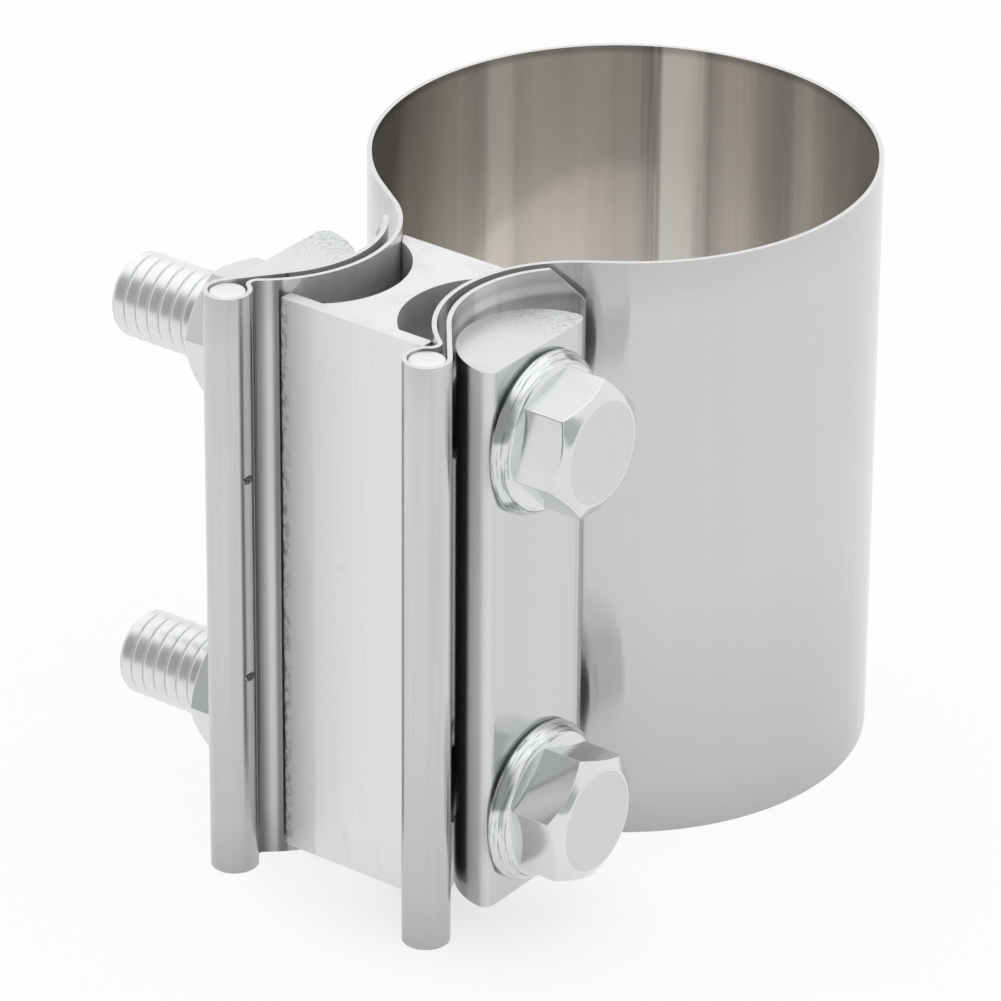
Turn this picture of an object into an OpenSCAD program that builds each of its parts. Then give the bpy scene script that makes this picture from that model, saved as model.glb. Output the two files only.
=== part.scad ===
// Wide band clamp for a slip joint in an exhaust pipe.
// The origin is on the pipe's axis at mid height. +Z runs along the pipe,
// -Y points at the tightening hardware and +X at the bolt heads.

/* [Band] */
// Inside radius of the band, the outside radius of the pipe that it grips
bore_r = 31.75; // [26:0.25:50]
// Height of the band along the pipe
band_h = 80; // [70:1:110]
// Thickness of the stainless sheet
sheet_t = 0.6; // [0.5:0.05:0.8]

/* [Legs] */
// Length of the straight stretch between the ring and a leg's hollow curve
entry_len = 4.8; // [2:0.1:10]
// Half the gap between the legs at that point, to the middle of the sheet
neck_half = 6.9; // [6.2:0.1:8]
// Radius of a leg's hollow curve, to the middle of the sheet
leg_r = 17; // [15:0.1:19]
// Angle that the hollow curve runs on past the narrowest point
leg_sweep = 53; // [50:0.5:56]
// Radius of the tight fold behind the pin, to the middle of the sheet
fold_r = 1.2; // [1:0.1:1.4]
// Angle of that fold
fold_angle = 111; // [106:0.5:116]
// Gap between a leg and the return layer outside it
layer_gap = 1.15; // [0.8:0.05:1.4]
// Angle that the return layer runs on past the narrowest point to its free end
return_rise = 58; // [50:1:62]
// Size of the 45 degree cuts at the free end's corners
corner_cut = 4.4; // [2:0.1:8]

/* [Pins] */
// Diameter of the pins that the sheet is wrapped round
pin_d = 4.8; // [4.2:0.1:5.4]
// Clearance round a pin in its wrap
pin_slack = 0.02; // [0.01:0.01:0.05]

/* [Reaction block] */
// Distance from the band's edges in to the ends of the extruded block
block_inset = 1.8; // [0.5:0.1:6]
// Distance from the narrowest point between the legs in to the block's inner face
block_in = 9.85; // [9.3:0.05:10.3]
// Distance from that point out to the block's front face
block_out = 12.95; // [12.2:0.05:13.7]
// Width of the block's front face
block_w = 21.5; // [19.5:0.1:22.3]
// Thickness of the web between the two hollows
web_t = 3.6; // [2.4:0.1:5]
// Radius of the hollows
hollow_r = 11.7; // [11:0.1:12.5]
// Thickness of the lips along the front face
lip_t = 1.8; // [1.4:0.1:2.4]
// Thickness of the tips beside the pipe
tip_t = 1; // [0.7:0.1:1.2]
// Clearance between the block and the legs
leg_slack = 0.1; // [0.05:0.05:0.4]

/* [Bars] */
// Distance from the band's edges in to the ends of the half-round bars
bar_inset = 3.1; // [1:0.1:8]
// Radius of a bar's round side
bar_r = 9.8; // [9:0.1:10.4]
// Thickness of a bar through its middle
bar_t = 10.1; // [9:0.1:11]
// Radius of the bar's two long outer edges
bar_edge_r = 1.4; // [0.8:0.1:2]
// Gap between the round side and the return layer, measured at the bolt's axis
bar_gap = 0.95; // [0.6:0.05:1.4]

/* [Bolts] */
// Diameter over the bolt's thread
bolt_d = 11.1; // [9.5:0.1:11.5]
// Distance from the band's edges in to the bolts' axes
bolt_inset = 14.5; // [12:0.1:20]
// Distance from the narrowest point between the legs out to the bolts' axes
axis_out = 2.4; // [1:0.05:3.5]
// Length of a bolt under its head
bolt_len = 62.4; // [56:0.1:80]
// Width of the hexagons across their flats
hex_af = 15.5; // [14:0.1:17]
// Height of a bolt head with its flange
head_h = 9.4; // [8:0.1:11]
// Diameter of the flange under a head
flange_d = 20.8; // [19:0.1:22]
// Thickness of the flange at its rim
rim_t = 0.9; // [0.6:0.1:1.2]
// Distance in from the rim at which the flange's steep edge ends
shoulder_in = 1.1; // [0.8:0.1:1.3]
// Height of the flange at that place
shoulder_h = 2.5; // [1.8:0.1:3]
// Slope of the flange's top from there to the hexagon
flange_slope = 18; // [10:1:30]
// Diameter of the flat disc on a head's face
disc_d = 13.4; // [11:0.1:14]
// Clearance round a bolt in the bars and in the block
bolt_slack = 0.45; // [0.2:0.05:0.8]
// Clearance round a bolt in the sheet
sheet_slack = 0.95; // [0.5:0.05:1.2]
// Angle of the upper head's corners from level
upper_head_angle = 15; // [0:1:60]
// Angle of the lower head's corners from level
lower_head_angle = 41; // [0:1:60]

/* [Nuts] */
// Height of a nut
nut_h = 8; // [6:0.1:10]
// Diameter of the flat ring on a nut's faces
nut_disc_d = 14.6; // [13:0.1:15]
// Clearance between the plain bore of a nut and the bolt
thread_slack = 0.05; // [0.02:0.01:0.1]
// Angle of the upper nut's corners from level
upper_nut_angle = 51.5; // [0:0.5:60]
// Angle of the lower nut's corners from level
lower_nut_angle = 57.5; // [0:0.5:60]
// Bevel at a bolt's tip
tip_bevel = 0.9; // [0.5:0.1:1.5]

/* [Hidden] */
$fn = 96;
// Facets of a large circle in the preview.
arc_facets = 180;

function unit(a) = [cos(a), sin(a)];
function heading(v) = atan2(v.y, v.x);

// Middle surface of the ring. A straight stretch joins it to the leg's hollow curve and is
// tangent to both, which sets the centre of the right leg's curve.
ring_r = bore_r + sheet_t / 2;
leg_dist = norm([ring_r + leg_r, entry_len]);
leg_centre = [neck_half + leg_r, -sqrt(leg_dist * leg_dist - pow(neck_half + leg_r, 2))];
ring_end = heading(leg_centre) + acos((ring_r + leg_r) / leg_dist);

// Fold behind the pin, and the pin's own centre.
fold_centre = leg_centre + (leg_r + fold_r) * unit(180 + leg_sweep);
wrap_r = pin_d / 2 + pin_slack + sheet_t / 2;
fold_exit = 270 + leg_sweep - fold_angle;
pin_centre = fold_centre + (fold_r + wrap_r) * unit(fold_exit + 90);

// The return layer leaves the wrap on a tangent and bends round the leg's centre.
return_r = leg_r - sheet_t - layer_gap;
return_dist = norm(leg_centre - pin_centre);
return_exit = heading(leg_centre - pin_centre) + asin((wrap_r + return_r) / return_dist);
return_len = sqrt(return_dist * return_dist - pow(wrap_r + return_r, 2));

// Each step is [bend radius, turn] or, with radius 0, [0, length].
// A left turn is positive.
leg_steps = [
    [0, entry_len],
    [leg_r, leg_sweep - ring_end],
    [fold_r, -fold_angle],
    [wrap_r, return_exit + 360 - fold_exit],
    [0, return_len],
    [return_r, 90 - return_rise - return_exit]
];

// Bolts' axis, and the bars' place outside the legs.
axis_y = leg_centre.y - axis_out;
return_face = leg_centre.x - sqrt(pow(return_r - sheet_t / 2, 2) - pow(axis_y - leg_centre.y, 2));
bar_inner = return_face + bar_gap;
bar_outer = bar_inner + bar_t;
bolt_z = band_h / 2 - bolt_inset;
bar_h = band_h - 2 * bar_inset;

// Block's section, front to back.
block_front = leg_centre.y - block_out;
block_depth = block_in + block_out;
block_h = band_h - 2 * block_inset;
hollow_x = web_t / 2 + hollow_r;

// Cutting tools reach this far past what they cut.
over = 1;
// Steps of the folded sheet run into each other by this much.
lap = 0.05;
// Every second step is this much thinner, so that each step ends in a clean edge.
thinning = 0.02;

function corner_d(af) = af / cos(30);

// Moves its children to the end of the given steps, heading along +X.
module follow(steps, i = 0) {
    if (i == len(steps)) {
        children();
    } else {
        r = steps[i][0];
        turn = steps[i][1];
        side = r == 0 ? 0 : sign(turn) * r;
        if (r == 0)
            translate([turn, 0, 0]) follow(steps, i + 1) children();
        else
            translate([0, side, 0]) rotate(turn) translate([0, -side, 0]) follow(steps, i + 1) children();
    }
}

// Section of one flat or one bend of sheet, from just before the origin along +X.
module sheet_step(r, turn, thick) {
    if (r == 0) {
        translate([-lap, -thick / 2]) square([turn + 2 * lap, thick]);
    } else {
        lap_turn = lap / r * 180 / PI;
        translate([0, sign(turn) * r])
            rotate(turn > 0 ? -90 - lap_turn : 90 + turn - lap_turn)
                arc_of_sheet(r, abs(turn) + 2 * lap_turn, thick);
    }
}

// Section of a bend of sheet round the origin, counted from +X.
module arc_of_sheet(r, sweep, thick) {
    far = 2 * (r + thick);
    intersection() {
        difference() {
            circle(r = r + thick / 2, $fn = arc_facets);
            circle(r = r - thick / 2, $fn = arc_facets);
        }
        polygon(concat([[0, 0]], [for (k = [0 : 8]) far * unit(k * sweep / 8)]));
    }
}

// The sheet of one side, from the ring's end through the leg, fold, wrap and return layer.
module leg_section() {
    rotate(ring_end)
        translate([ring_r, 0])
            rotate(-90)
                for (i = [0 : len(leg_steps) - 1]) {
                    before = [for (k = [0 : 1 : i - 1]) leg_steps[k]];
                    thick = i % 2 == 0 ? sheet_t - thinning : sheet_t;
                    follow(before) sheet_step(leg_steps[i][0], leg_steps[i][1], thick);
                }
}

// 45 degree cuts at the two corners of the right return layer's free end. They follow the
// layer's bend on its hollow side and stop short of the leg on the other.
module end_cuts() {
    edge = corner_cut * sqrt(2);
    sag = corner_cut * corner_cut / return_r;
    rotate(ring_end)
        translate([ring_r, 0, 0])
            rotate(-90)
                follow(leg_steps)
                    for (side = [-1, 1])
                        translate([0, 0, side * band_h / 2])
                            rotate([0, 45, 0])
                                translate([-edge / 2, -sheet_t / 2 - sag, -edge / 2])
                                    cube([edge, sheet_t + sag + lap, edge]);
}

// A round hole or shank along X on one of the two bolt axes.
module on_axis(side) {
    translate([0, axis_y, side * bolt_z]) rotate([0, 90, 0]) children();
}

module bolt_holes(slack) {
    for (side = [-1, 1])
        on_axis(side) cylinder(d = bolt_d + 2 * slack, h = 2 * (bar_outer + over), center = true);
}

module band() {
    color("silver")
        difference() {
            linear_extrude(height = band_h, center = true) {
                rotate(ring_end) arc_of_sheet(ring_r, 180 - 2 * ring_end, sheet_t);
                leg_section();
                mirror([1, 0]) leg_section();
            }
            end_cuts();
            mirror([1, 0, 0]) end_cuts();
            bolt_holes(sheet_slack);
        }
}

module pin(side) {
    color("gainsboro")
        translate([side * pin_centre.x, pin_centre.y, 0]) cylinder(d = pin_d, h = band_h, center = true);
}

// Extruded section with a hollow on each side, clear of the legs.
module block_section() {
    difference() {
        translate([-block_w / 2, block_front]) square([block_w, block_depth]);
        for (side = [-1, 1]) {
            translate([side * leg_centre.x, leg_centre.y])
                circle(r = leg_r + sheet_t / 2 + leg_slack, $fn = arc_facets);
            intersection() {
                translate([side * hollow_x, axis_y]) circle(r = hollow_r, $fn = arc_facets);
                translate([side * block_w / 2 - block_w, block_front + lip_t])
                    square([2 * block_w, block_depth - lip_t - tip_t]);
            }
        }
    }
}

module reaction_block() {
    color("whitesmoke")
        difference() {
            linear_extrude(height = block_h, center = true) block_section();
            bolt_holes(bolt_slack);
        }
}

// Half-round section, round side towards -X, with its two outer edges rounded.
module bar_section() {
    centre = bar_inner + bar_r;
    edge_x = bar_outer - bar_edge_r;
    edge_y = sqrt(pow(bar_r - bar_edge_r, 2) - pow(edge_x - centre, 2));
    meet_x = centre + (edge_x - centre) * bar_r / (bar_r - bar_edge_r);
    intersection() {
        translate([centre, 0]) circle(r = bar_r, $fn = arc_facets);
        union() {
            translate([bar_inner - over, -bar_r - over]) square([meet_x - bar_inner + over, 2 * (bar_r + over)]);
            translate([bar_inner - over, -edge_y]) square([bar_t + over, 2 * edge_y]);
        }
    }
    for (side = [-1, 1])
        translate([edge_x, side * edge_y]) circle(r = bar_edge_r);
}

module bar() {
    color("lightsteelblue")
        difference() {
            translate([0, axis_y, 0]) linear_extrude(height = bar_h, center = true) bar_section();
            bolt_holes(bolt_slack);
        }
}

// Hexagonal prism from z = 0, its corners bevelled at 30 degrees from a flat disc.
module hex_body(af, h, disc, both) {
    r = corner_d(af) / 2;
    reach = r + over;
    drop = (reach - disc / 2) * tan(30);
    foot = both ? [[disc / 2, 0], [reach, drop]] : [[reach, 0]];
    intersection() {
        cylinder(r = r, h = h, $fn = 6);
        rotate_extrude() polygon(concat([[0, 0]], foot, [[reach, h - drop], [disc / 2, h], [0, h]]));
    }
}

// Flange bolt on its own axis: the flange's underside is at z = 0 and the head points to +z.
module flange_bolt(turn) {
    shoulder_r = flange_d / 2 - shoulder_in;
    core_r = hex_af / 2 - over;
    core_h = shoulder_h + (shoulder_r - core_r) * tan(flange_slope);
    rotate(turn) hex_body(hex_af, head_h, disc_d, false);
    rotate_extrude()
        polygon([
            [0, 0], [flange_d / 2, 0], [flange_d / 2, rim_t], [shoulder_r, shoulder_h], [core_r, core_h], [0, core_h]
        ]);
    translate([0, 0, -bolt_len])
        rotate_extrude()
            polygon([
                [0, 0], [bolt_d / 2 - tip_bevel, 0], [bolt_d / 2, tip_bevel], [bolt_d / 2, bolt_len], [0, bolt_len]
            ]);
}

module bolt(side, turn) {
    color("lightsteelblue") translate([bar_outer, 0, 0]) on_axis(side) flange_bolt(90 + turn);
}

module nut(side, turn) {
    color("lightsteelblue")
        translate([-bar_outer - nut_h, 0, 0])
            on_axis(side)
                difference() {
                    rotate(90 + turn) hex_body(hex_af, nut_h, nut_disc_d, true);
                    translate([0, 0, -over]) cylinder(d = bolt_d + 2 * thread_slack, h = nut_h + 2 * over);
                }
}

band();
pin(-1);  // pin_left
pin(1);  // pin_right
reaction_block();
mirror([1, 0, 0]) bar();  // bar_left
bar();  // bar_right
bolt(1, upper_head_angle);  // bolt_upper
bolt(-1, lower_head_angle);  // bolt_lower
nut(1, upper_nut_angle);  // nut_upper
nut(-1, lower_nut_angle);  // nut_lower
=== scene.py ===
import bpy, math
from mathutils import Matrix, Vector


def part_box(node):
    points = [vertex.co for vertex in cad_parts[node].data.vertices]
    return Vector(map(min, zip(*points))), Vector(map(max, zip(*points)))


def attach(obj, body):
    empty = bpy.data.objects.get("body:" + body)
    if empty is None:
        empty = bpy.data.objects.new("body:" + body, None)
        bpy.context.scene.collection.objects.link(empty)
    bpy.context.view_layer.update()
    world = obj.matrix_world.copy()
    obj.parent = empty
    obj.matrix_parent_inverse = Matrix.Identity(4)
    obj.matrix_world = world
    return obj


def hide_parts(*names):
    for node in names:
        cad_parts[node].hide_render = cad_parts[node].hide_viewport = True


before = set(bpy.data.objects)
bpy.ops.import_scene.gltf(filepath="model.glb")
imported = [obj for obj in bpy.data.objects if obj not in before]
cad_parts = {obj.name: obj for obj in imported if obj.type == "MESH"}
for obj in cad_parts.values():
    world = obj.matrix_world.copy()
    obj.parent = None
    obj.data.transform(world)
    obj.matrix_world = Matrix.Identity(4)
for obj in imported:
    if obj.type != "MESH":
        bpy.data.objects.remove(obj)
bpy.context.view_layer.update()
print("frame loaded:", len(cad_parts), "CAD nodes")

mm = 0.001
deg = math.pi / 180


# camera, as fitted to the photograph; lengths in mm, angles in degrees

viewPoint = dict(azimuth=36.41, elevation=28.0, roll=0.42, distance=882.91, right=-6.41, up=-3.01,
                 forward=-15.0, focalPixels=6991.6, imageWidth=1001, sensor=36, nearest=50, farthest=20000)


def addCamera(c):
    a, e, r = c["azimuth"] * deg, c["elevation"] * deg, c["roll"] * deg
    back = Vector((math.sin(a) * math.cos(e), -math.cos(a) * math.cos(e), math.sin(e)))
    side = Vector((math.cos(a), math.sin(a), 0))
    up = back.cross(side)
    place = side * c["right"] + up * c["up"] + back * c["distance"] + Vector((0, c["forward"], 0))
    x = side * math.cos(r) + up * math.sin(r)
    y = up * math.cos(r) - side * math.sin(r)
    data = bpy.data.cameras.new("photoCamera")
    data.sensor_width = c["sensor"]
    data.lens = c["focalPixels"] * c["sensor"] / c["imageWidth"]
    data.clip_start, data.clip_end = c["nearest"] * mm, c["farthest"] * mm
    camera = bpy.data.objects.new("photoCamera", data)
    bpy.context.scene.collection.objects.link(camera)
    turn = Matrix((x, y, back)).transposed().to_4x4()
    camera.matrix_world = Matrix.Translation(place * mm) @ turn
    bpy.context.scene.camera = camera


addCamera(viewPoint)
print("camera placed")


# shader maths: a Field is one output socket that takes part in sums

class Field:
    def __init__(self, shade, socket):
        self.shade, self.socket = shade, socket

    def sum(self, how, a, b):
        return self.shade.node("ShaderNodeMath", dict(operation=how), {0: a, 1: b})

    def __add__(self, other): return self.sum("ADD", self, other)
    def __radd__(self, other): return self.sum("ADD", other, self)
    def __sub__(self, other): return self.sum("SUBTRACT", self, other)
    def __rsub__(self, other): return self.sum("SUBTRACT", other, self)
    def __mul__(self, other): return self.sum("MULTIPLY", self, other)
    def __rmul__(self, other): return self.sum("MULTIPLY", other, self)
    def __truediv__(self, other): return self.sum("DIVIDE", self, other)
    def __rtruediv__(self, other): return self.sum("DIVIDE", other, self)
    def __pow__(self, other): return self.sum("POWER", self, other)
    def __gt__(self, other): return self.sum("GREATER_THAN", self, other)


class Shade:
    # One material. node() takes a node's type, its settings and the values or links of its sockets.
    def __init__(self, name, world=None):
        self.material = world or bpy.data.materials.new(name)
        self.material.use_nodes = True
        self.tree = self.material.node_tree
        self.tree.nodes.clear()

    def node(self, kind, settings=None, values=None, out=0):
        n = self.tree.nodes.new(kind)
        for key, value in (settings or {}).items():
            if key == "stops":
                while len(n.color_ramp.elements) < len(value):
                    n.color_ramp.elements.new(0.5)
                for element, (at, shade) in zip(n.color_ramp.elements, value):
                    element.position = at
                    element.color = (shade, shade, shade, 1)
            else:
                setattr(n, key, value)
        for key, value in (values or {}).items():
            if isinstance(value, Field):
                self.tree.links.new(value.socket, n.inputs[key])
            else:
                n.inputs[key].default_value = value
        return Field(self, n.outputs[out]) if len(n.outputs) else n

    def place(self):
        return self.node("ShaderNodeTexCoord", out="Object")

    def size(self, field):
        return self.node("ShaderNodeMath", dict(operation="ABSOLUTE"), {0: field})

    def turnOf(self, up, across):
        return self.node("ShaderNodeMath", dict(operation="ARCTAN2"), {0: up, 1: across})

    def axes(self, vector):
        parts = self.node("ShaderNodeSeparateXYZ", values={0: vector})
        return [Field(self, parts.socket.node.outputs[i]) for i in range(3)]

    def point(self, x, y, z):
        return self.node("ShaderNodeCombineXYZ", values={0: x, 1: y, 2: z})

    def stretch(self, vector, x, y, z, turn=(0, 0, 0)):
        return self.node("ShaderNodeMapping", values={"Vector": vector, "Rotation": turn, "Scale": (x, y, z)})

    def noise(self, vector, scale, detail=2.0, rough=0.5, twist=0.0):
        return self.node("ShaderNodeTexNoise", dict(noise_dimensions="3D"),
                         {"Vector": vector, "Scale": scale, "Detail": detail, "Roughness": rough,
                          "Distortion": twist})

    def ramp(self, field, *stops):
        return self.node("ShaderNodeValToRGB", dict(stops=stops), {0: field})

    def span(self, length, low, high, *stops):
        # A ramp over a length, which is in metres as the coordinates are; the ends and the stops are in mm.
        share = (length - low * mm) * (1 / ((high - low) * mm))
        return self.ramp(share, *[((at - low) / (high - low), value) for at, value in stops])

    def ball(self, radius, x, y, z):
        # 1 inside a radius in mm round the place where x, y and z are nought, and 0 outside.
        return 1.0 - (x ** 2 + y ** 2 + z ** 2 > (radius * mm) ** 2)

    def blend(self, amount, first, second):
        def full(c):
            return c if isinstance(c, Field) else (*c, 1)
        return self.node("ShaderNodeMix", dict(data_type="RGBA"), {0: amount, 6: full(first), 7: full(second)}, 2)

    def scale(self, colour, amount):
        return self.node("ShaderNodeVectorMath", dict(operation="SCALE"), {0: colour, 3: amount})

    def bump(self, height, strength, distance, under=None):
        values = {"Height": height, "Strength": strength, "Distance": distance}
        if under is not None:
            values["Normal"] = under
        return self.node("ShaderNodeBump", values=values)

    def metal(self, colour, roughness, normal, metallic=1.0, **more):
        values = {"Base Color": colour, "Roughness": roughness, "Metallic": metallic, "Normal": normal}
        values.update({key.replace("_", " "): value for key, value in more.items()})
        surface = self.node("ShaderNodeBsdfPrincipled", values=values)
        self.node("ShaderNodeOutputMaterial", values={0: surface})
        return self.material


# modelling by operators

def deselect():
    if bpy.context.object and bpy.context.object.mode != "OBJECT":
        bpy.ops.object.mode_set(mode="OBJECT")
    bpy.ops.object.select_all(action="DESELECT")


def pick(piece):
    deselect()
    piece.select_set(True)
    bpy.context.view_layer.objects.active = piece


def bake(piece):
    # The piece's place and turn go into its mesh.
    pick(piece)
    bpy.ops.object.transform_apply(location=True, rotation=True, scale=True)


def moveTo(piece, x, y, z):
    piece.location = (x * mm, y * mm, z * mm)
    bake(piece)


def addModifier(piece, kind, **settings):
    pick(piece)
    modifier = piece.modifiers.new(kind.lower(), kind)
    for key, value in settings.items():
        setattr(modifier, key, value)
    bpy.ops.object.modifier_apply(modifier=modifier.name)


def cut(piece, tool, how="DIFFERENCE"):
    addModifier(piece, "BOOLEAN", object=tool, operation=how, solver="EXACT")
    bpy.data.objects.remove(tool)


def smooth(piece, angle=30):
    pick(piece)
    bpy.ops.object.shade_smooth_by_angle(angle=angle * deg)


def flatten(piece):
    # Large faces keep their own flat normals; the small bevels between them take up the turn.
    addModifier(piece, "WEIGHTED_NORMAL", mode="FACE_AREA", weight=80, keep_sharp=True)


def soften(piece, width, segments=2, angle=32):
    addModifier(piece, "BEVEL", width=width * mm, segments=segments, limit_method="ANGLE", angle_limit=angle * deg,
                harden_normals=False, use_clamp_overlap=True)


def dress(piece, *looks):
    piece.data.materials.clear()
    for look in looks:
        piece.data.materials.append(look)


def faceLook(piece, slot, test):
    for face in piece.data.polygons:
        if test(face):
            face.material_index = slot


def openEdges(piece):
    uses = {}
    for face in piece.data.polygons:
        for key in face.edge_keys:
            uses[key] = uses.get(key, 0) + 1
    return sum(1 for n in uses.values() if n != 2)


def report(piece):
    print(piece.name, "faces", len(piece.data.polygons), "open edges", openEdges(piece))


def copyNode(node, name):
    # A merged copy of a CAD node's mesh, with flat faces in one piece again.
    deselect()
    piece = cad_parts[node].copy()
    piece.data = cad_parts[node].data.copy()
    for key in list(piece.keys()):
        del piece[key]
    piece.parent = None
    piece.name = piece.data.name = name
    bpy.context.scene.collection.objects.link(piece)
    pick(piece)
    if piece.data.has_custom_normals:
        bpy.ops.mesh.customdata_custom_splitnormals_clear()
    bpy.ops.object.mode_set(mode="EDIT")
    bpy.ops.mesh.select_all(action="SELECT")
    bpy.ops.mesh.remove_doubles(threshold=1e-6)
    bpy.ops.mesh.dissolve_limited(angle_limit=0.4 * deg)
    bpy.ops.object.mode_set(mode="OBJECT")
    return piece


def outlineMesh(name, points):
    # A mesh that is only an outline: (x, radius) points in mm and the edges between them.
    deselect()
    bpy.ops.mesh.primitive_plane_add(size=1)
    piece = bpy.context.object
    piece.name = piece.data.name = name
    bpy.ops.object.mode_set(mode="EDIT")
    bpy.ops.mesh.select_all(action="SELECT")
    bpy.ops.mesh.delete(type="VERT")
    bpy.ops.object.mode_set(mode="OBJECT")
    piece.data.from_pydata([(x * mm, max(r, 0) * mm, 0) for x, r in points],
                           [(i, i + 1) for i in range(len(points) - 1)], [])
    return piece


def turned(name, profile, steps=96):
    # A solid of revolution about X, from a profile that starts and ends on the axis.
    piece = outlineMesh(name, profile)
    pick(piece)
    bpy.ops.object.mode_set(mode="EDIT")
    bpy.ops.mesh.select_all(action="SELECT")
    bpy.ops.mesh.spin(steps=steps, angle=2 * math.pi, center=(0, 0, 0), axis=(1, 0, 0))
    bpy.ops.mesh.select_all(action="SELECT")
    bpy.ops.mesh.remove_doubles(threshold=1e-7)
    bpy.ops.mesh.normals_make_consistent(inside=False)
    bpy.ops.object.mode_set(mode="OBJECT")
    return piece


def hexPrism(name, flats, low, high, angle):
    deselect()
    bpy.ops.mesh.primitive_cylinder_add(vertices=6, radius=flats / math.sqrt(3) * mm, depth=(high - low) * mm,
                                        location=((low + high) / 2 * mm, 0, 0), rotation=(0, 90 * deg, 0))
    piece = bpy.context.object
    piece.name = piece.data.name = name
    bake(piece)
    # corners at the measured angle from +Y towards +Z
    first = min(math.atan2(v.co.z, v.co.y) % (60 * deg) for v in piece.data.vertices)
    piece.rotation_euler = (angle * deg - first, 0, 0)
    bake(piece)
    return piece


# places that looks and pieces share, from the CAD: the bars' flat sides and the bolts

barBox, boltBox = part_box("bar_right"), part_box("bolt_upper")
boltPlace = dict(y=(boltBox[0].y + boltBox[1].y) / 2 / mm, z=(boltBox[0].z + boltBox[1].z) / 2 / mm,
                 seat=barBox[1].x / mm)


# the band: one stainless sheet, swept along its folded path; lengths in mm, angles in degrees, and the facets
# of each bend

bandSheet = dict(boreRadius=31.75, sheet=0.6, height=80.0, neckHalf=6.9, entry=4.8, legRadius=17.0, legSweep=53.0,
                 foldRadius=1.2, foldAngle=111.0, pinDiameter=4.8, pinSlack=0.02, layerGap=1.15, returnRise=58.0,
                 ringFacets=76, legFacets=46, foldFacets=20, wrapFacets=44, layerFacets=34,
                 cornerCut=4.4, spare=0.05, holeDiameter=13.0, holeReach=60.0, boltInset=14.5, axisOut=2.4,
                 stakes=(15.1, -12.3), stakeTurn=-10.8, stakeRadius=0.7, stakeOut=0.35, edgeRound=0.08)

# where the sheet's marks, painted shade and painted reflections lie: out is the distance from the pipe's axis towards
# the pins, reach the one sideways;
# the painted reflection bands run round the inside from right of the neck to the left, as (share of a half turn,
# brightness)
sheetMarksAndPaintedLight = dict(arcRadius=32.0, insideRadius=31.9, mouth=46.0, seat=53.0, wrap=57.5, foldReach=14.2,
                  legReach=23.9, legOut=43.1, layerRadius=15.3, paintedLightFrom=0.655, arcMiddle=0.688, plainMiddle=0.66,
                  spotReach=12.12, spotOut=61.1, spotRadius=0.60, ridgeReach=12.22, ridgeOut=61.8,
                  ridgeRadius=0.30, ridgeDrop=0.2,
                  reflectionBands=((0.28, 1.20), (0.335, 1.20), (0.34, 1.23), (0.36, 1.12), (0.415, 1.15), (0.425, 1.28),
                         (0.452, 1.28), (0.465, 1.16), (0.50, 1.16), (0.562, 1.10), (0.572, 0.95), (0.586, 0.94),
                         (0.592, 1.34), (0.648, 1.32), (0.653, 0.70), (0.664, 0.73), (0.672, 0.80), (0.70, 0.84),
                         (0.76, 0.86), (0.842, 0.77), (0.852, 0.93), (0.884, 0.92), (0.892, 0.75), (0.93, 0.77),
                         (0.94, 0.66), (0.99, 0.57)))


def insidePaintedLight(s, m, around, x, out, z):
    # How bright the ring's inside is, all painted light: painted reflection bands round it, painted shade at the left
    # end, even beside the neck, a painted lighter area with a curved edge on the left, and a painted shade line under
    # the upper lip.
    leftEnd = (0.0 - x > 0.0) * (out > 0.0)
    reflectionBands = s.ramp(around, *m["reflectionBands"]) * (1.0 - leftEnd) + leftEnd * 0.52
    neck = s.span(out, 0, 50, (10, 0.0), (23, 1.0))
    reflectionBands = reflectionBands * (1.0 - neck) + neck * 0.86
    left = around > m["paintedLightFrom"]
    paintedLightArea = s.span(z, -50, 50, (0, 1.0), (6, 1.20), (15, 1.20), (26, 1.0))
    arc = s.span(z + (around - m["arcMiddle"]) ** 2 * 0.205, -50, 50, (21.4, 1.22), (24.2, 1.0))
    paintedLightArea = (1.0 + (paintedLightArea - 1.0) * (0.35 + left * 0.65)) * (1.0 + left * (arc - 1.0))
    lipShade = s.span(z, -50, 50, (38.9, 1.0), (39.3, 0.62), (39.8, 0.62))
    return reflectionBands * paintedLightArea * lipShade


def stakeShadeAndHighlight(s, m, colour, reach, y, z):
    # Painted shade in a spot and a painted highlight on a ridge beside it, where each stake was struck.
    for level in bandSheet["stakes"]:
        up = z - level * mm
        spot = s.ball(m["spotRadius"], reach - m["spotReach"] * mm, (y + m["spotOut"] * mm) * 0.75, up)
        ridge = s.ball(m["ridgeRadius"], reach - m["ridgeReach"] * mm, y + m["ridgeOut"] * mm,
                       up + m["ridgeDrop"] * mm)
        colour = s.blend(spot * 0.9, colour, (0.06, 0.06, 0.055))
        colour = s.blend(ridge, colour, (0.90, 0.90, 0.89))
    return colour


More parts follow.
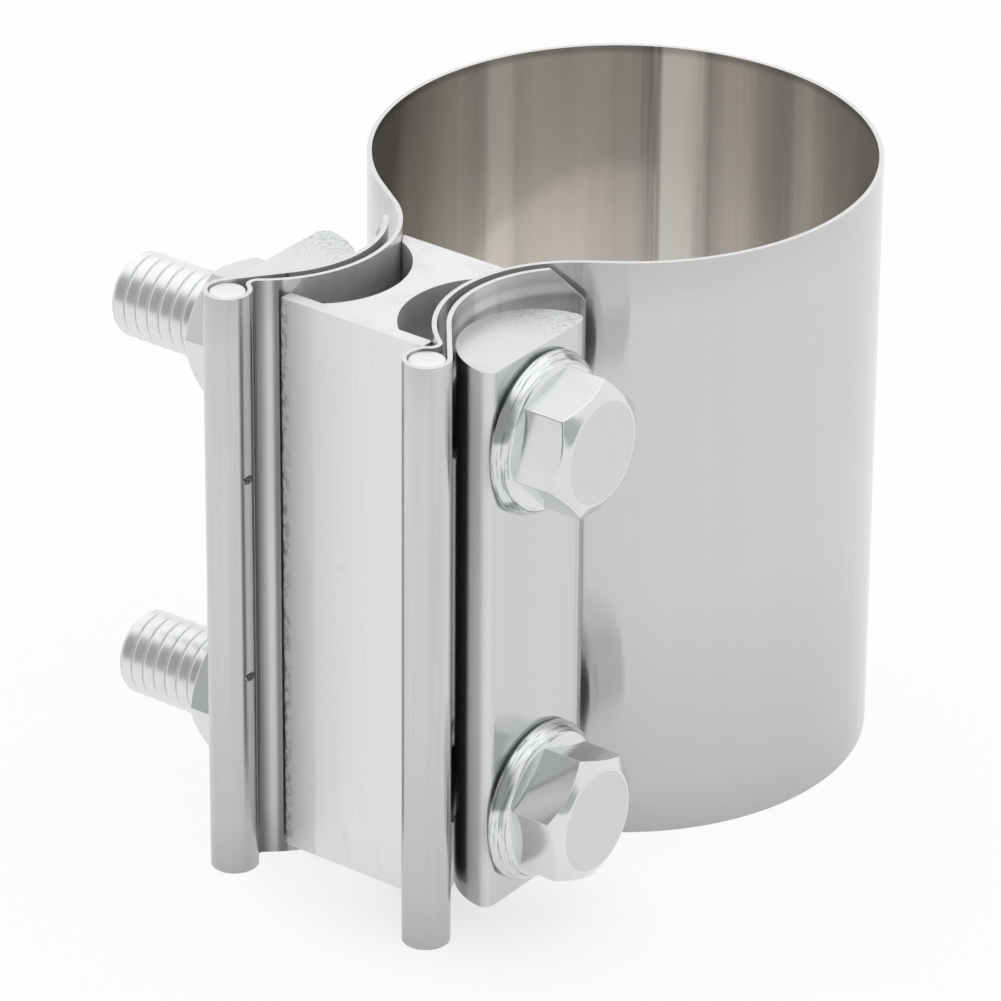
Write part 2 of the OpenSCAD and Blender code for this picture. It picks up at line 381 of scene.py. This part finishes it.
def polishedSheet(m):
    # Polished stainless, rolled round the band: reflections spread up and down and stay sharp sideways.
    s = Shade("polishedSheet")
    at = s.place()
    x, y, z = s.axes(at)
    out, reach, angle = 0.0 - y, s.size(x), s.turnOf(y, x)
    around = angle / math.pi
    inside = 1.0 - ((x * x + y * y) ** 0.5 > m["insideRadius"] * mm)
    wrap = out > m["wrap"] * mm
    arc = angle * (m["arcRadius"] * mm)
    bands = s.noise(s.point(arc, z * 0.04, inside * 0.1), 190.0, 3.0, 0.6)
    grain = s.noise(s.point(arc, z * 9.0, inside * 0.1), 60.0, 3.0, 0.6)
    rolled = s.noise(s.stretch(at, 1.0, 1.0, 0.03), 520.0, 3.0, 0.6)
    specks = s.ramp(s.noise(at, 1100.0, 1.0, 0.4), (0.775, 0.0), (0.80, 1.0))
    outer = s.blend(bands, (0.615, 0.608, 0.598), (0.655, 0.648, 0.640))
    # painted shade: the outside grows darker towards the bottom
    outer = s.scale(outer, s.span(z, -50, 50, (-40, 0.82), (-5, 1.0)))
    # painted light: the inside gets a lighter, warmer tone than the outside, with the painted reflection bands and
    # painted shade worked out above
    inner = s.blend(s.ramp(bands, (0.30, 0.0), (0.70, 1.0)), (0.695, 0.660, 0.620), (0.790, 0.755, 0.712))
    plain = s.ramp(s.size(around - m["plainMiddle"]) * 2.0, (0.30, 0.0), (0.62, 0.75))
    inner = s.scale(s.blend(plain, inner, (0.742, 0.724, 0.698)), insidePaintedLight(s, m, around, x, out, z))
    colour = s.blend(inside, outer, inner)
    colour = s.blend(grain * 0.12, s.scale(colour, 1.0 + wrap * 0.04), (0.54, 0.535, 0.525))
    streaks = s.ramp(rolled, (0.44, 0.0), (0.66, 0.45)) * (out > m["mouth"] * mm)
    colour = s.blend(streaks, colour, (0.50, 0.495, 0.485))
    # painted shade in the crease where the leg is folded back, and along the line where it leaves the block; the
    # metal is also dulled in the fold
    fold = s.span(y, -62, -52, (-60.0, 0.0), (-59.4, 0.9), (-57.8, 1.0), (-57.0, 0.9), (-56.3, 0.0)) * (
        1.0 - (reach > m["foldReach"] * mm))
    seat = s.span(reach, 0, 20, (11.16, 0.0), (11.4, 1.0), (12.0, 1.0), (12.36, 0.0)) * (out > m["seat"] * mm)
    colour = s.blend((fold + seat * (1.0 - wrap)) * (0.6 + rolled * 0.6), colour, (0.17, 0.168, 0.16))
    # painted shade on the return layer above the bar's upper end, in two bands with a clear strip between, broken up
    # by noise
    fromLeg = ((reach - m["legReach"] * mm) ** 2 + (out - m["legOut"] * mm) ** 2) ** 0.5
    layer = 1.0 - (fromLeg > m["layerRadius"] * mm)
    shadeBreakup = s.noise(s.stretch(at, 0.22, 0.22, 1.0), 1400.0, 3.0, 0.6)
    dim = s.span(z, 30, 40, (31.0, 0.0), (33.5, 0.45), (36.6, 0.75), (37.1, 0.05), (37.8, 0.0), (38.5, 0.40),
                 (39.7, 0.15))
    colour = s.blend(layer * dim * (0.5 + shadeBreakup * 0.8), colour, (0.22, 0.22, 0.215))
    colour = stakeShadeAndHighlight(s, m, colour, reach, y, z)
    colour = s.blend(specks * inside * 0.5, colour, (0.95, 0.94, 0.92))
    rough = 0.115 + bands * 0.03 + grain * 0.03 + inside * 0.035 + wrap * 0.07
    dull = s.span(s.size(z), 0, 100, (33.0, 0.0), (39.6, 1.0)) * (1.0 - inside)
    metallic = 0.90 - inside * 0.03 - dull * 0.36 - fold * 0.5
    return s.metal(colour, rough, s.bump(bands, 0.16, 0.0005), metallic, Anisotropic=0.9, Anisotropic_Rotation=0.25)


def shearedEdge():
    # Cut edge of the sheet: bright, with fine strokes across it.
    s = Shade("shearedEdge")
    strokes = s.noise(s.stretch(s.place(), 1.0, 1.0, 0.2), 2600.0, 2.0, 0.6)
    colour = s.blend(strokes, (0.70, 0.697, 0.69), (0.84, 0.837, 0.83))
    return s.metal(colour, 0.32 + strokes * 0.14, s.bump(strokes, 0.2, 0.00004))


def bandPath(b):
    # The same steps as in the CAD: [radius, turn] or [0, length] with the facets, then what else lines up
    # with them.
    ring = b["boreRadius"] + b["sheet"] / 2
    leg = b["legRadius"]
    distance = math.hypot(ring + leg, b["entry"])
    centre = Vector((b["neckHalf"] + leg, -math.sqrt(distance ** 2 - (b["neckHalf"] + leg) ** 2)))
    heading = math.degrees(math.atan2(centre.y, centre.x))
    ringEnd = heading + math.degrees(math.acos((ring + leg) / distance))

    def unit(a):
        return Vector((math.cos(a * deg), math.sin(a * deg)))

    fold = centre + (leg + b["foldRadius"]) * unit(180 + b["legSweep"])
    wrap = b["pinDiameter"] / 2 + b["pinSlack"] + b["sheet"] / 2
    foldExit = 270 + b["legSweep"] - b["foldAngle"]
    pin = fold + (b["foldRadius"] + wrap) * unit(foldExit + 90)
    back = leg - b["sheet"] - b["layerGap"]
    gap = (centre - pin).length
    backExit = math.degrees(math.atan2((centre - pin).y, (centre - pin).x) + math.asin((wrap + back) / gap))
    steps = [[ring, -(90 - ringEnd), b["ringFacets"]], [0, b["entry"], 1],
             [leg, b["legSweep"] - ringEnd, b["legFacets"]], [b["foldRadius"], -b["foldAngle"], b["foldFacets"]],
             [wrap, backExit + 360 - foldExit, b["wrapFacets"]], [0, math.sqrt(gap ** 2 - (wrap + back) ** 2), 1],
             [back, 90 - b["returnRise"] - backExit, b["layerFacets"]]]
    return dict(ring=ring, pin=pin, wrap=wrap, back=back, steps=steps, axis=centre.y - b["axisOut"],
                bolt=b["height"] / 2 - b["boltInset"])


def sweepSheet(b, path):
    # The sheet's section stands across the path at the back of the ring, heading along +X.
    deselect()
    bpy.ops.mesh.primitive_plane_add(size=1, location=(0, path["ring"] * mm, 0), rotation=(0, 90 * deg, 0))
    piece = bpy.context.object
    piece.name = piece.data.name = "bandSheet"
    piece.scale = (b["height"] * mm, b["sheet"] * mm, 1)
    bake(piece)
    bpy.ops.object.mode_set(mode="EDIT")
    bpy.ops.mesh.select_all(action="SELECT")
    bpy.ops.mesh.delete(type="ONLY_FACE")
    bpy.ops.mesh.select_all(action="SELECT")
    here, heading = Vector((0, path["ring"])), 0.0
    for radius, turn, facets in path["steps"]:
        along = Vector((math.cos(heading * deg), math.sin(heading * deg)))
        if radius == 0:
            here = here + along * turn
            bpy.ops.mesh.extrude_region_move(
                TRANSFORM_OT_translate={"value": (along.x * turn * mm, along.y * turn * mm, 0)})
        else:
            across = Vector((-along.y, along.x)) * (radius if turn > 0 else -radius)
            centre = here + across
            bpy.ops.mesh.spin(steps=facets, angle=-turn * deg, center=(centre.x * mm, centre.y * mm, 0),
                              axis=(0, 0, 1))
            heading += turn
            here = centre - Vector((math.cos(turn * deg) * across.x - math.sin(turn * deg) * across.y,
                                    math.sin(turn * deg) * across.x + math.cos(turn * deg) * across.y))
    bpy.ops.mesh.edge_face_add()
    bpy.ops.mesh.select_all(action="SELECT")
    bpy.ops.mesh.normals_make_consistent(inside=False)
    bpy.ops.object.mode_set(mode="OBJECT")
    # the left half
    addModifier(piece, "MIRROR", use_axis=(True, False, False), use_clip=False, merge_threshold=1e-5)
    pick(piece)
    bpy.ops.object.mode_set(mode="EDIT")
    bpy.ops.mesh.select_all(action="SELECT")
    bpy.ops.mesh.remove_doubles(threshold=1e-6)
    bpy.ops.mesh.normals_make_consistent(inside=False)
    bpy.ops.object.mode_set(mode="OBJECT")
    return piece, here, heading * deg


def cutCorners(piece, b, path, end, heading):
    # 45 degree corners of the return layers: deeper on the hollow side, where the layer bends away, and short of
    # the leg on the other
    size = b["cornerCut"] * math.sqrt(2) * mm
    depth = b["sheet"] + b["cornerCut"] ** 2 / path["back"] + b["spare"]
    shift = (b["sheet"] / 2 + b["spare"] - depth / 2) * mm
    for side in (-1, 1):
        for level in (-1, 1):
            deselect()
            bpy.ops.mesh.primitive_cube_add(
                size=1, location=(side * end.x * mm, end.y * mm, level * b["height"] / 2 * mm))
            tool = bpy.context.object
            turn = heading if side > 0 else math.pi - heading
            tool.location += Vector((-math.sin(heading) * side, math.cos(heading), 0)) * shift
            tool.rotation_euler = (Matrix.Rotation(turn, 3, "Z") @ Matrix.Rotation(45 * deg, 3, "Y")).to_euler()
            tool.scale = (size, depth * mm, size)
            bake(tool)
            cut(piece, tool)


def cutStakes(piece, b, path):
    # two small stakes in each wrap keep its pin from sliding
    turn, reach = b["stakeTurn"] * deg, path["wrap"] + b["sheet"] / 2 + b["stakeOut"]
    for side in (-1, 1):
        away = Vector((-side * math.cos(turn), math.sin(turn)))
        for level in b["stakes"]:
            deselect()
            spot = Vector((side * path["pin"].x, path["pin"].y)) + away * reach
            bpy.ops.mesh.primitive_ico_sphere_add(subdivisions=3, radius=b["stakeRadius"] * mm,
                                                  location=(spot.x * mm, spot.y * mm, level * mm))
            tool = bpy.context.object
            tool.scale = (1, 1, 0.8)
            bake(tool)
            cut(piece, tool)


def cutHoles(piece, b, path):
    for level in (-1, 1):
        deselect()
        bpy.ops.mesh.primitive_cylinder_add(vertices=64, radius=b["holeDiameter"] / 2 * mm,
                                            depth=b["holeReach"] * mm,
                                            location=(0, path["axis"] * mm, level * path["bolt"] * mm),
                                            rotation=(0, 90 * deg, 0))
        tool = bpy.context.object
        bake(tool)
        cut(piece, tool)


def makeBand(b):
    path = bandPath(b)
    piece, end, heading = sweepSheet(b, path)
    cutCorners(piece, b, path, end, heading)
    cutStakes(piece, b, path)
    cutHoles(piece, b, path)
    soften(piece, b["edgeRound"], 2, 40)
    half = b["height"] / 2 * mm
    dress(piece, polishedSheet(sheetMarksAndPaintedLight), shearedEdge())
    faceLook(piece, 1, lambda f: abs(f.normal.z) > 0.5 and abs(abs(f.center.z) - half) < 0.3 * mm)
    smooth(piece, 32)
    flatten(piece)
    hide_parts("band")
    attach(piece, "clamp_body")
    report(piece)
    return path["pin"]


pinPlace = makeBand(bandSheet)
print("band made")


# pins, peened a little at their ends

pinForm = dict(diameter=bandSheet["pinDiameter"], height=79.6, endRound=0.42)


def pinSteel():
    s = Shade("pinSteel")
    patch = s.noise(s.place(), 620.0, 3.0, 0.6)
    colour = s.blend(patch, (0.80, 0.80, 0.795), (0.93, 0.93, 0.925))
    return s.metal(colour, 0.34 + patch * 0.16, s.bump(patch, 0.2, 0.00006))


def makePin(side, name, node):
    deselect()
    centre = Vector((side * pinPlace.x, pinPlace.y)) * mm
    bpy.ops.mesh.primitive_cylinder_add(vertices=64, radius=pinForm["diameter"] / 2 * mm,
                                        depth=pinForm["height"] * mm, location=(centre.x, centre.y, 0))
    piece = bpy.context.object
    piece.name = piece.data.name = name
    bake(piece)
    soften(piece, pinForm["endRound"], 4, 40)
    dress(piece, pinLook)
    smooth(piece, 40)
    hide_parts(node)
    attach(piece, "clamp_body")
    report(piece)


pinLook = pinSteel()
makePin(-1, "pinLeft", "pin_left")
makePin(1, "pinRight", "pin_right")
print("pins made")


# reaction block

blockForm = dict(edgeRound=0.12)


def extrudedAluminium():
    # Drawn lines run along the extrusion; a few scuffs lie across them, and a rough burr stands at the edges.
    s = Shade("extrudedAluminium")
    at = s.place()
    x = s.axes(at)[0]
    reach = s.size(x)
    lines = s.noise(s.stretch(at, 1.0, 1.0, 0.012), 1100.0, 3.0, 0.6)
    broad = s.noise(s.stretch(at, 1.0, 1.0, 0.04), 190.0, 2.0, 0.5)
    marks = s.ramp(s.noise(s.stretch(at, 1.0, 1.0, 0.35), 420.0, 4.0, 0.65, 0.4), (0.60, 0.0), (0.74, 0.6))
    # painted shade: the extruded faces are darker and less metallic from 6 mm left of the middle
    shade = s.span(0.0 - x, 0, 20, (6.0, 0.0), (6.1, 0.35), (9.2, 0.5))
    scuffs = s.ramp(s.noise(s.stretch(at, 0.7, 1.0, 0.45), 1500.0, 3.0, 0.6), (0.47, 0.0), (0.60, 1.0))
    beside = s.span(reach, 0, 20, (9.4, 0.0), (10.56, 0.8))
    burr = s.span(reach, 0, 20, (10.48, 0.0), (10.6, 1.0))
    colour = s.blend(lines, (0.875, 0.875, 0.865), (0.95, 0.95, 0.942))
    colour = s.blend(broad * 0.25, colour, (0.78, 0.78, 0.77))
    colour = s.blend(shade * 0.14, colour, (0.70, 0.70, 0.69))
    colour = s.blend(marks * 0.5, colour, (0.68, 0.68, 0.67))
    colour = s.blend(beside * scuffs, colour, (0.36, 0.36, 0.35))
    colour = s.blend(burr * (0.35 + scuffs * 0.65), colour, (0.27, 0.27, 0.26))
    rough = 0.40 + lines * 0.10 + broad * 0.08
    normal = s.bump(broad, 0.16, 0.0002, s.bump(lines, 0.30, 0.00005))
    return s.metal(colour, rough, normal, 0.86 - shade * 0.8)


def sawnAluminium():
    # The block's cut ends: nearly white, with the saw's arcs.
    s = Shade("sawnAluminium")
    at = s.place()
    arcs = s.node("ShaderNodeTexWave", dict(wave_type="RINGS", rings_direction="Z"),
                  {"Vector": s.node("ShaderNodeMapping", values={"Vector": at, "Location": (0.09, 0.11, 0)}),
                   "Scale": 520.0, "Distortion": 3.0, "Detail": 2.0, "Detail Scale": 3.0}, 1)
    grain = s.noise(at, 1900.0, 3.0, 0.65)
    cloud = s.noise(at, 240.0, 3.0, 0.6)
    colour = s.blend(grain, (0.80, 0.802, 0.80), (0.90, 0.902, 0.90))
    colour = s.blend(s.ramp(cloud, (0.50, 0.0), (0.72, 0.5)), colour, (0.70, 0.70, 0.69))
    return s.metal(colour, 0.46 + grain * 0.16, s.bump(arcs * 0.5 + grain * 0.5, 0.16, 0.00005), 0.9)


block = copyNode("reaction_block", "reactionBlock")
soften(block, blockForm["edgeRound"], 2, 35)
dress(block, extrudedAluminium(), sawnAluminium())
faceLook(block, 1, lambda f: abs(f.normal.z) > 0.5)
smooth(block, 32)
flatten(block)
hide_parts("reaction_block")
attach(block, "clamp_body")
report(block)
print("block made")


# half-round bars

barForm = dict(edgeRound=0.35, endFrom=36.8, roundFrom=53.5, flatDepth=0.3)


def zincOnBars(b):
    # Bright zinc over drawn bar: fine lines along the bar, and rubbed strokes at the far side of its ends.
    s = Shade("zincOnBars")
    at = s.place()
    x, y, z = s.axes(at)
    under = s.size(x) - barBox[1].x  # nought on the flat side and less inside it
    end = s.size(z) > b["endFrom"] * mm
    far = s.span(y, -56, -36, (-45.0, 0.0), (-38.0, 1.0))
    # painted light on the bar's round side, from 0.15 to 4 mm inside the flat side and beyond 53.5 mm out: near white
    # and barely metallic
    side = s.span(under, -10, 0, (-4.0, 0.0), (-3.2, 1.0), (-0.7, 1.0), (-0.3, 0.4), (-0.15, 0.0)) * (
        0.0 - y > b["roundFrom"] * mm)
    back = s.span(y - barBox[1].y, -4, 1, (-1.975, 0.0), (-1.9, 0.7), (-1.775, 0.30), (-0.8, 0.34), (-0.5, 0.8)) * (
        under > -b["flatDepth"] * mm)
    lines = s.noise(s.stretch(at, 1.0, 1.0, 0.02), 1300.0, 3.0, 0.6)
    broad = s.noise(s.stretch(at, 1.0, 1.0, 0.10), 150.0, 2.0, 0.5)
    strokes = s.noise(s.stretch(at, 1.0, 0.45, 1.0, (0, 0, -0.35)), 3200.0, 4.0, 0.66, 0.4)
    colour = s.blend(broad, (0.600, 0.618, 0.608), (0.655, 0.670, 0.660))
    colour = s.blend(side, colour, s.blend(broad, (0.86, 0.87, 0.85), (0.94, 0.95, 0.93)))
    colour = s.blend(back, colour, (0.43, 0.44, 0.43))
    colour = s.blend(lines * 0.2, colour, (0.52, 0.53, 0.525))
    ends = s.blend(broad, (0.750, 0.760, 0.755), (0.805, 0.812, 0.808))
    ends = s.blend(far * s.ramp(strokes, (0.46, 0.0), (0.62, 0.75)), ends, (0.40, 0.44, 0.47))
    colour = s.blend(end, colour, ends)
    rough = 0.15 + lines * 0.04 + broad * 0.04 + end * (0.10 + far * strokes * 0.12)
    normal = s.bump(lines, 0.10, 0.00003)
    normal = s.bump(end * far * strokes, 0.14, 0.00006, normal)
    normal = s.bump(broad, 0.10, 0.0003, normal)
    return s.metal(colour, rough, normal, 1.0 - side * 0.8)


barLook = zincOnBars(barForm)
for node, name, body in (("bar_left", "barLeft", "left_bar"), ("bar_right", "barRight", "right_bar")):
    bar = copyNode(node, name)
    soften(bar, barForm["edgeRound"], 3, 35)
    dress(bar, barLook)
    smooth(bar, 32)
    flatten(bar)
    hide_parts(node)
    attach(bar, body)
    report(bar)
print("bars made")


# bolts: a forged head with its flange, and a shank with a rolled thread; lengths in mm, angles in degrees, and
# the thread's depth and the middle of its root as shares of the pitch

boltForm = dict(diameter=11.1, length=62.4, pitch=1.8143, threadDepth=0.34, rootMiddle=0.86, threadEnd=-38.0,
                runOut=0.5, tipBevel=0.9, acrossFlats=15.5, headHeight=9.4, headBevel=32.0, disc=13.4, flange=20.8,
                rim=0.9, shoulderIn=1.1, shoulderHeight=2.5, slope=18.0, edgeRound=0.16, upperAngle=15.0,
                lowerAngle=41.0)


def zincOnHeads(b):
    # Bright zinc over a forged head: smooth facets, a duller flat end, and fine flow lines round the flange.
    s = Shade("zincOnHeads")
    at = s.place()
    x, y, z = s.axes(at)
    up = s.size(z) - boltPlace["z"] * mm
    out = y - boltPlace["y"] * mm
    radius = (up * up + out * out) ** 0.5
    disc = (x > (boltPlace["seat"] + b["headHeight"] - 0.12) * mm) * (1.0 - (radius > 6.5 * mm))
    rim = s.span(radius, 0, 10, (8.95, 0.0), (9.15, 1.0))
    rings = s.noise(s.point(radius, s.turnOf(up, out) * 0.0010, x * 1.5), 2300.0, 2.0, 0.55)
    cloud = s.noise(at, 190.0, 1.0, 0.4, 0.1)
    colour = s.blend(s.ramp(cloud, (0.32, 0.0), (0.70, 1.0)), (0.715, 0.733, 0.728), (0.765, 0.783, 0.780))
    colour = s.blend(disc, colour, (0.648, 0.668, 0.662))
    colour = s.blend(rim * s.ramp(rings, (0.36, 0.85), (0.50, 0.0)), colour, (0.36, 0.38, 0.39))
    # painted shade: the dark line where the flange meets the bar
    flangeShade = (radius > 9.6 * mm) * (1.0 - (x > (boltPlace["seat"] + 0.30) * mm)) * (x > 0.0)
    colour = s.blend(flangeShade * 0.8, colour, (0.10, 0.105, 0.11))
    rough = 0.10 + cloud * 0.04 + rim * 0.03 + disc * 0.08
    return s.metal(colour, rough, s.bump(cloud, 0.10, 0.0003), 0.90)


def zincOnThread():
    s = Shade("zincOnThread")
    cloud = s.noise(s.place(), 420.0, 3.0, 0.6)
    colour = s.blend(cloud, (0.78, 0.80, 0.782), (0.88, 0.90, 0.885))
    return s.metal(colour, 0.24 + cloud * 0.12, s.bump(cloud, 0.12, 0.0001), 0.78)


def makeHead(b, name, angle):
    # A hexagon turned down to a bevel and a flat disc.
    top, disc = b["headHeight"], b["disc"] / 2
    reach = b["acrossFlats"] / math.sqrt(3) + 1
    head = hexPrism(name, b["acrossFlats"], 0.2, top + 0.5, angle)
    cut(head, turned("headTurning", [
        (-0.5, 0), (-0.5, reach), (top - (reach - disc) * math.tan(b["headBevel"] * deg), reach),
        (top - 0.42, disc + 0.66), (top - 0.20, disc + 0.32), (top - 0.06, disc + 0.10), (top, disc - 0.06),
        (top - 0.03, disc - 0.35), (top - 0.04, 0)]), "INTERSECT")
    soften(head, b["edgeRound"], 2, 24)
    return head


def makeFlange(b):
    edge, rim, height = b["flange"] / 2, b["rim"], b["shoulderHeight"]
    shoulder, core = edge - b["shoulderIn"], b["acrossFlats"] / 2 - 1
    crown = height + (shoulder - core) * math.tan(b["slope"] * deg)
    return turned("flange", [
        (0.0, 0), (0.0, edge - 0.60), (0.20, edge - 0.46), (0.38, edge - 0.12), (0.50, edge), (rim - 0.22, edge),
        (rim - 0.04, edge - 0.07), (rim + 0.34, edge - 0.26), (rim + 0.80, edge - 0.55),
        (height - 0.25, shoulder + 0.18), (height + 0.02, shoulder - 0.12), (crown, core), (crown, 0)])


def threadRod(b, start, end):
    # One pitch of the rolled thread's outline is screwed along the shank, then cut to length.
    outer, pitch = b["diameter"] / 2, b["pitch"]
    depth, root = b["threadDepth"] * pitch, b["rootMiddle"] * pitch
    outline = [(0.0, outer - 0.10), (0.08, outer - 0.02), (0.20, outer), (0.34, outer - 0.02),
               (0.34 * pitch, outer - 0.09), (0.55 * pitch, outer - 0.19), (root - 0.20, outer - 0.30),
               (root - 0.09, outer - depth + 0.05), (root, outer - depth), (root + 0.09, outer - depth + 0.06),
               (pitch, outer - 0.10)]
    piece = outlineMesh("rod", [(start - pitch + x, r) for x, r in outline])
    addModifier(piece, "SCREW", axis="X", angle=2 * math.pi, screw_offset=pitch * mm,
                iterations=math.ceil((end - start) / pitch) + 2, steps=64, render_steps=64,
                use_merge_vertices=True, merge_threshold=1e-6, use_smooth_shade=True)
    pick(piece)
    bpy.ops.object.mode_set(mode="EDIT")
    bpy.ops.mesh.select_all(action="SELECT")
    bpy.ops.mesh.remove_doubles(threshold=2e-6)
    for place, inner in ((start, True), (end, False)):
        bpy.ops.mesh.select_all(action="SELECT")
        bpy.ops.mesh.bisect(plane_co=(place * mm, 0, 0), plane_no=(1, 0, 0), use_fill=True, clear_inner=inner,
                            clear_outer=not inner, threshold=1e-7)
    bpy.ops.mesh.select_all(action="SELECT")
    bpy.ops.mesh.normals_make_consistent(inside=False)
    bpy.ops.object.mode_set(mode="OBJECT")
    return piece


def makeBolt(b, name, node, body, level, angle):
    head = makeHead(b, name, angle)
    flange = makeFlange(b)
    radius, tip, end, run = b["diameter"] / 2, -b["length"], b["threadEnd"], b["runOut"]
    rod = threadRod(b, tip, end)
    cut(rod, turned("tipTurning", [(tip - 1, 0), (tip - 1, radius - b["tipBevel"] - 1),
                                   (tip + b["tipBevel"] + 0.25, radius + 0.2), (0, radius + 0.2), (0, 0)], 64),
        "INTERSECT")
    shank = turned("shank", [(end - run, 0), (end - run, radius - 0.6), (end + run, radius), (1, radius), (1, 0)], 64)
    for part in (head, flange, rod, shank):
        dress(part, headLook, threadLook)
    faceLook(rod, 1, lambda f: True)
    deselect()
    for part in (flange, rod, shank, head):
        part.select_set(True)
    bpy.context.view_layer.objects.active = head
    bpy.ops.object.join()
    head.name = head.data.name = name
    moveTo(head, boltPlace["seat"], boltPlace["y"], level * boltPlace["z"])
    smooth(head, 30)
    flatten(head)
    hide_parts(node)
    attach(head, body)
    report(head)


headLook, threadLook = zincOnHeads(boltForm), zincOnThread()
makeBolt(boltForm, "boltUpper", "bolt_upper", "upper_bolt", 1, boltForm["upperAngle"])
makeBolt(boltForm, "boltLower", "bolt_lower", "lower_bolt", -1, boltForm["lowerAngle"])
print("bolts made")


# nuts

nutForm = dict(height=8.0, acrossFlats=15.5, disc=14.6, cornerBevel=30.0, bore=11.2, boreBevel=0.45, edgeRound=0.16,
               outer=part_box("nut_upper")[0].x / mm, upperAngle=51.5, lowerAngle=57.5)


def makeNut(n, name, node, body, level, angle):
    height, disc, bore, lead = n["height"], n["disc"] / 2, n["bore"] / 2, n["boreBevel"]
    reach = n["acrossFlats"] / math.sqrt(3) + 1
    drop = (reach - disc) * math.tan(n["cornerBevel"] * deg)
    nut = hexPrism(name, n["acrossFlats"], -0.2, height + 0.2, angle)
    cut(nut, turned("nutTurning", [(0, 0), (0, disc), (drop, reach), (height - drop, reach), (height, disc),
                                   (height, 0)]), "INTERSECT")
    cut(nut, turned("boreTurning", [(-1, 0), (-1, bore + 1.4), (lead, bore), (height - lead, bore),
                                    (height + 1, bore + 1.4), (height + 1, 0)], 64))
    soften(nut, n["edgeRound"], 2, 24)
    dress(nut, headLook)
    moveTo(nut, n["outer"], boltPlace["y"], level * boltPlace["z"])
    smooth(nut, 30)
    flatten(nut)
    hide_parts(node)
    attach(nut, body)
    report(nut)


makeNut(nutForm, "nutUpper", "nut_upper", "upper_nut", 1, nutForm["upperAngle"])
makeNut(nutForm, "nutLower", "nut_lower", "lower_nut", -1, nutForm["lowerAngle"])
print("nuts made")


# floor, world and lamp; the floor's drop is in mm, the lamp's measures in metres

studio = dict(floorDrop=40.02, floorSize=6.0, floorColour=0.90, white=0.91, nearWhite=0.68,
              roomBright=(1.0, 1.0, 1.0), roomDim=(0.30, 0.305, 0.31), edgeDim=(0.50, 0.505, 0.51),
              dimSide=(0.10, -0.92, 0.38), dimEdge=(0.975, -0.05, 0.20),
              lampPlace=(0.05, 0.15, 1.1), lampAim=(0, -0.02, 0), lampSize=1.6, lampPower=2.0)


def makeFloor():
    # Matt white that keeps the shadow, made whiter for the camera and for reflections, less so by the clamp.
    deselect()
    bpy.ops.mesh.primitive_plane_add(size=studio["floorSize"], location=(0, 0, -studio["floorDrop"] * mm))
    floor = bpy.context.object
    floor.name = floor.data.name = "studioFloor"
    s = Shade("floorWhite")
    rays = s.node("ShaderNodeLightPath", out="Is Camera Ray").socket.node
    seen = (Field(s, rays.outputs["Is Camera Ray"]) + Field(s, rays.outputs["Is Glossy Ray"])
            + Field(s, rays.outputs["Is Transmission Ray"]))
    x, y, z = s.axes(s.place())
    spread = (((x - 13 * mm) * 0.7) ** 2 + (y + 52 * mm) ** 2) ** 0.5
    seen = seen * s.span(spread, 0, 50, (2.5, studio["nearWhite"]), (21, studio["white"]))
    matt = s.node("ShaderNodeBsdfDiffuse", values={"Color": (studio["floorColour"],) * 3 + (1,)})
    white = s.node("ShaderNodeEmission", values={"Color": (1, 1, 1, 1), "Strength": 1.0})
    mixed = s.node("ShaderNodeMixShader", values={0: seen, 1: matt, 2: white})
    s.node("ShaderNodeOutputMaterial", values={0: mixed})
    dress(floor, s.material)


def makeWorld():
    # A bright room that falls off low on the photographer's side; the camera itself sees plain white.
    world = bpy.data.worlds.new("studioWorld")
    bpy.context.scene.world = world
    s = Shade("studioWorld", world)
    x, y, z = s.axes(s.place())

    def towards(way):
        return x * way[0] + y * way[1] + z * way[2]

    dim = s.ramp(towards(studio["dimSide"]), (0.64, 0.0), (0.82, 1.0))
    edge = s.ramp(towards(studio["dimEdge"]), (0.935, 0.0), (0.985, 1.0))
    colour = s.blend(edge, s.blend(dim, studio["roomBright"], studio["roomDim"]), studio["edgeDim"])
    rays = s.node("ShaderNodeLightPath", out="Is Camera Ray")
    room = s.node("ShaderNodeBackground", values={"Color": colour, "Strength": 1.0})
    white = s.node("ShaderNodeBackground", values={"Color": (1, 1, 1, 1), "Strength": 1.0})
    s.node("ShaderNodeOutputWorld", values={0: s.node("ShaderNodeMixShader", values={0: rays, 1: room, 2: white})})


def addLamp():
    data = bpy.data.lights.new("overheadBox", "AREA")
    data.shape = "RECTANGLE"
    data.size = data.size_y = studio["lampSize"]
    data.energy = studio["lampPower"]
    lamp = bpy.data.objects.new("overheadBox", data)
    bpy.context.scene.collection.objects.link(lamp)
    lamp.location = studio["lampPlace"]
    lamp.rotation_euler = (Vector(studio["lampAim"]) - lamp.location).to_track_quat("-Z", "Y").to_euler()


makeFloor()
makeWorld()
addLamp()
bpy.context.scene.view_settings.view_transform = "Standard"
print("studio set")
